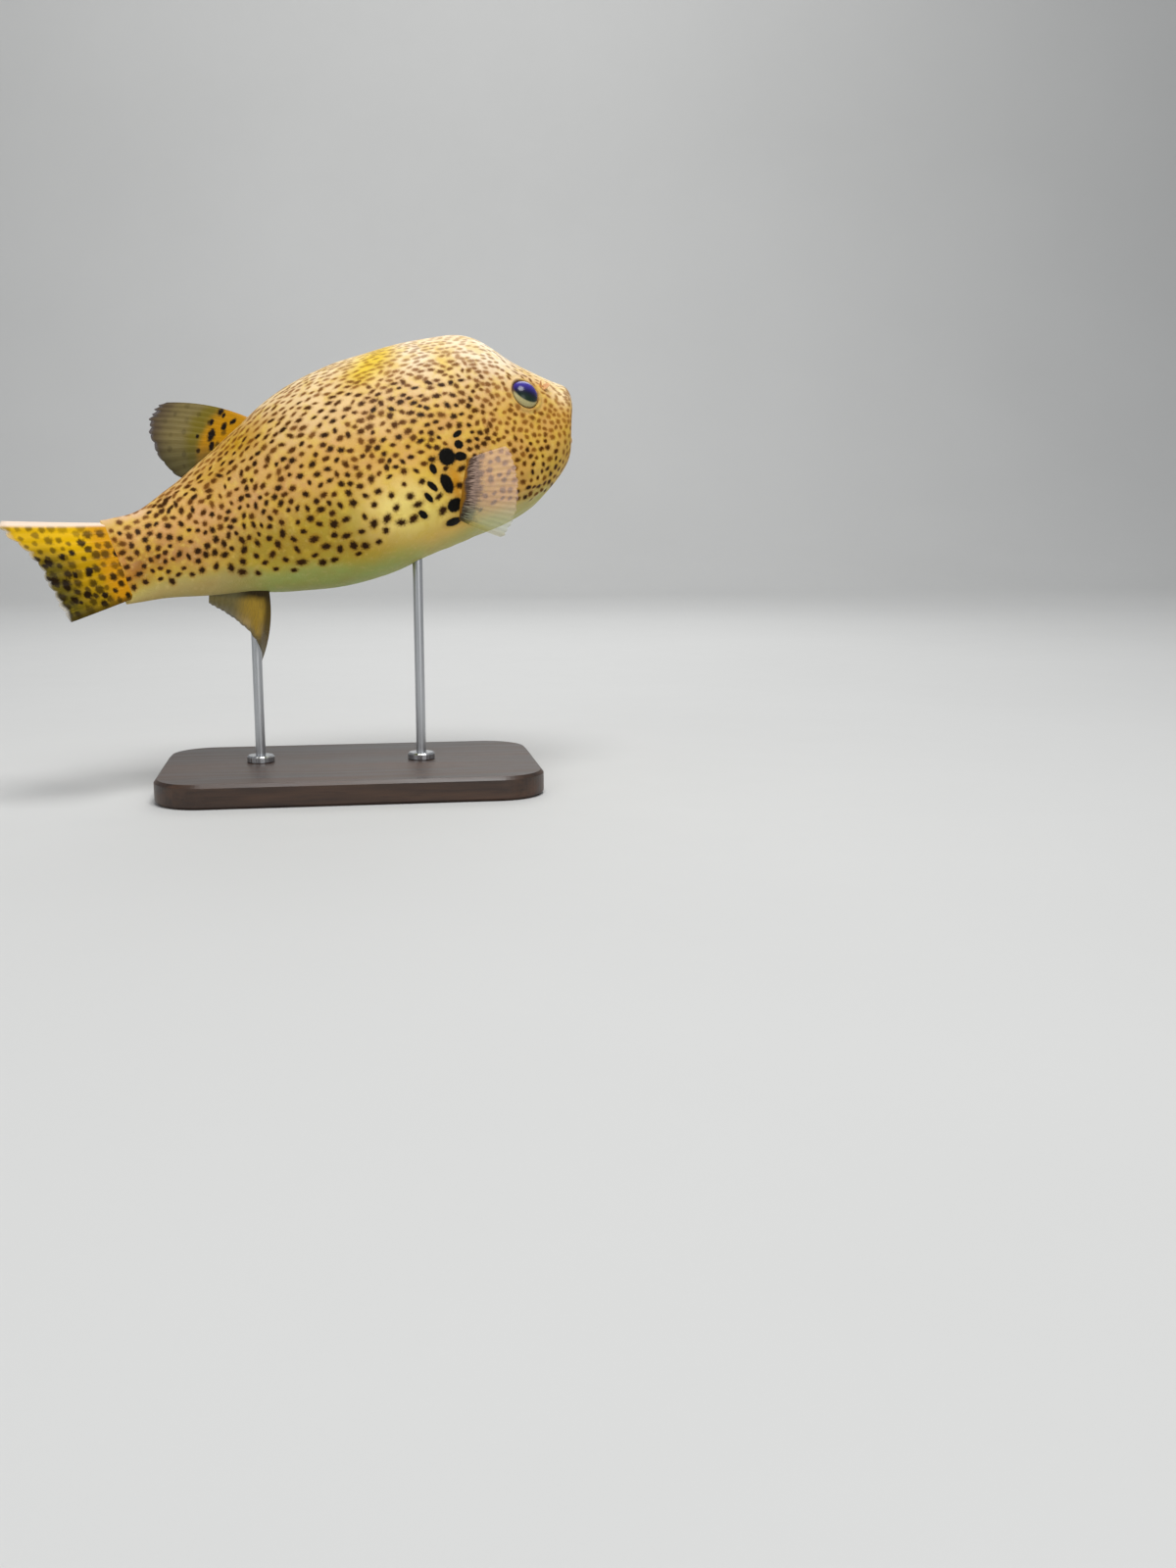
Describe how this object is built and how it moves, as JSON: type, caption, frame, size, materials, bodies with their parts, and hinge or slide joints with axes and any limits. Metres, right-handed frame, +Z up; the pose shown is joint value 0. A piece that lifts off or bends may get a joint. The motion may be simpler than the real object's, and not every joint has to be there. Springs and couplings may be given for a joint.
{
  "type": "starry puffer fish model",
  "caption": "Still life-size model of a young yellow starry puffer with dark spots, tail swung out and pectoral fins spread, held up by rods on a flat display base.",
  "frame": {"origin": "centre of the underside of the stand's base", "axes": "+X towards the fish's head, +Y towards its left side, +Z up"},
  "size_m": [0.2796, 0.1212, 0.2272],
  "materials": {
    "skin": "moist satin, golden tan with dark brown spots and a pale belly",
    "fin_dark": "satin, olive brown membrane over fine rays",
    "fin_yellow": "satin, bright yellow with dark spots",
    "fin_clear": "satin, thin pinkish cream membrane over yellow rays",
    "eye": "gloss, dark pupil in a pale green gold ring",
    "tooth": "gloss ivory",
    "stand_base": "satin dark stain",
    "stand_rod": "brushed"
  },
  "bodies": {
    "root": {"head": "skin", "trunk": "skin", "tail": "skin", "fin_dorsal": "fin_dark", "fin_anal": "fin_dark", "fin_caudal": "fin_yellow", "fin_pectoral_left": "fin_clear", "fin_pectoral_right": "fin_clear", "eye_left": "eye", "eye_right": "eye", "tooth_upper": "tooth", "tooth_lower": "tooth", "stand_base": "stand_base", "stand_rod_front": "stand_rod", "stand_rod_rear": "stand_rod"}
  },
  "joints": []
}
